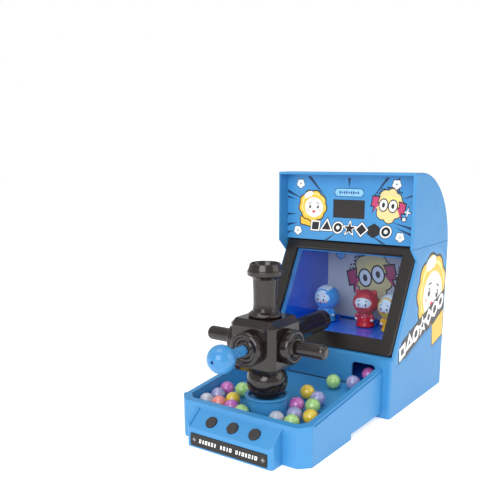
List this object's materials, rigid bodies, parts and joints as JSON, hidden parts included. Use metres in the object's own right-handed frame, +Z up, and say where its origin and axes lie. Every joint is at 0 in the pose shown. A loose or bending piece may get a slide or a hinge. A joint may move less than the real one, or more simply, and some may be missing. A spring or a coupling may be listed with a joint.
{
  "type": "tabletop marble shooting game",
  "caption": "Small tabletop arcade cabinet with a swivelling spring plunger gun that shoots marbles through a window at knock-down figures, with a marble return tray.",
  "frame": {"origin": "on the table, midway between the sides and midway between the plunger knob's front and the cabinet's back", "axes": "+X to the player's right, +Y from the player towards the cabinet's back, +Z up"},
  "size_m": [0.1554, 0.3177, 0.235],
  "materials": {
    "cabinet_blue": "satin",
    "chamber_blue": "gloss",
    "launcher_black": "gloss",
    "frame_black": "satin",
    "clear_pane": "gloss",
    "dark_lens": "gloss",
    "knob_blue": "gloss",
    "button_grey": "matte",
    "steel": "satin",
    "circuit_green": "satin",
    "black_plastic": "matte",
    "cell_wrap": "gloss",
    "printed_card": "matte",
    "printed_panel": "satin",
    "plate_black": "satin",
    "figure_blue": "gloss",
    "figure_red": "gloss",
    "figure_yellow": "gloss",
    "marble_green": "gloss",
    "marble_yellow": "gloss",
    "marble_pink": "gloss",
    "marble_violet": "gloss",
    "marble_coral": "gloss",
    "marble_white": "gloss"
  },
  "bodies": {
    "console": {"backdrop_card": "printed_card", "base_plate": "cabinet_blue", "base_screws": "steel", "batteries": "cell_wrap", "battery_box": "cabinet_blue", "battery_door": "cabinet_blue", "button_board": "circuit_green", "chamber_tub": "chamber_blue", "head_shell": "cabinet_blue", "hit_switches": "black_plastic", "joining_screws": "steel", "lamp_strip": "circuit_green", "lower_cabinet": "cabinet_blue", "main_board": "circuit_green", "marbles_coral": "marble_coral", "marbles_green": "marble_green", "marbles_pink": "marble_pink", "marbles_violet": "marble_violet", "marbles_white": "marble_white", "marbles_yellow": "marble_yellow", "marquee_panel": "printed_panel", "nameplate": "plate_black", "pedestal": "cabinet_blue", "pedestal_screws": "steel", "rear_cover": "cabinet_blue", "rear_cover_screws": "steel", "return_chute": "chamber_blue", "score_display": "black_plastic", "score_lens": "dark_lens", "speaker": "black_plastic", "switch_body": "black_plastic", "target_pins": "steel", "target_springs": "steel", "tray": "cabinet_blue", "tray_cover": "cabinet_blue", "tray_cover_screws": "steel", "window_frame": "frame_black", "window_pane": "clear_pane"},
    "swivel": {"swivel_cup": "cabinet_blue"},
    "turret": {"pivot_ball": "launcher_black", "pivot_pin": "steel", "turret_housing": "launcher_black", "housing_base": "launcher_black", "barrel": "launcher_black", "hopper": "launcher_black", "front_bush": "launcher_black", "left_boss": "launcher_black", "right_boss": "launcher_black", "left_handle": "launcher_black", "right_handle": "launcher_black", "plunger_spring": "steel"},
    "plunger": {"plunger_rod": "knob_blue", "plunger_knob": "knob_blue"},
    "button_left": {"button_1": "button_grey"},
    "button_middle": {"button_2": "button_grey"},
    "button_right": {"button_3": "button_grey"},
    "figure_left": {"target_left": "figure_blue"},
    "figure_middle": {"target_middle": "figure_red"},
    "figure_right": {"target_right": "figure_yellow"},
    "power_slider": {"switch_slider": "black_plastic"}
  },
  "joints": [
    {"name": "turret_turn", "type": "hinge", "parent": "console", "child": "swivel", "pos_m": [0, -0.07833, 0.0533], "axis": [0, 0, 1], "range_deg": [-30, 30]},
    {"name": "turret_tilt", "type": "hinge", "parent": "swivel", "child": "turret", "pos_m": [0, -0.07833, 0.0533], "axis": [1, 0, 0], "range_deg": [-2, 9]},
    {"name": "plunger_pull", "type": "slide", "parent": "turret", "child": "plunger", "axis": [0, -1, 0], "range_m": [0, 0.02], "stiffness_N_per_m": 120, "springref_m": -0.008, "deforming": ["plunger_spring"]},
    {"name": "power_slide", "type": "slide", "parent": "console", "child": "power_slider", "axis": [1, 0, 0], "range_m": [0, 0.004]},
    {"name": "press_left", "type": "slide", "parent": "console", "child": "button_left", "axis": [0, 0.6222, -0.7829], "range_m": [0, 0.0015], "stiffness_N_per_m": 300, "springref_m": -0.0005},
    {"name": "press_middle", "type": "slide", "parent": "console", "child": "button_middle", "axis": [0, 0.6222, -0.7829], "range_m": [0, 0.0015], "stiffness_N_per_m": 300, "springref_m": -0.0005},
    {"name": "press_right", "type": "slide", "parent": "console", "child": "button_right", "axis": [0, 0.6222, -0.7829], "range_m": [0, 0.0015], "stiffness_N_per_m": 300, "springref_m": -0.0005},
    {"name": "knock_left", "type": "hinge", "parent": "console", "child": "figure_left", "pos_m": [-0.039, 0.11367, 0.07022], "axis": [-1, 0, 0], "range_deg": [0, 30], "stiffness_Nm_per_rad": 0.02, "springref_deg": -34.38},
    {"name": "knock_middle", "type": "hinge", "parent": "console", "child": "figure_middle", "pos_m": [0.0085, 0.11467, 0.07019], "axis": [-1, 0, 0], "range_deg": [0, 30], "stiffness_Nm_per_rad": 0.02, "springref_deg": -34.38},
    {"name": "knock_right", "type": "hinge", "parent": "console", "child": "figure_right", "pos_m": [0.0425, 0.10668, 0.07047], "axis": [-1, 0, 0], "range_deg": [0, 30], "stiffness_Nm_per_rad": 0.02, "springref_deg": -34.38}
  ]
}
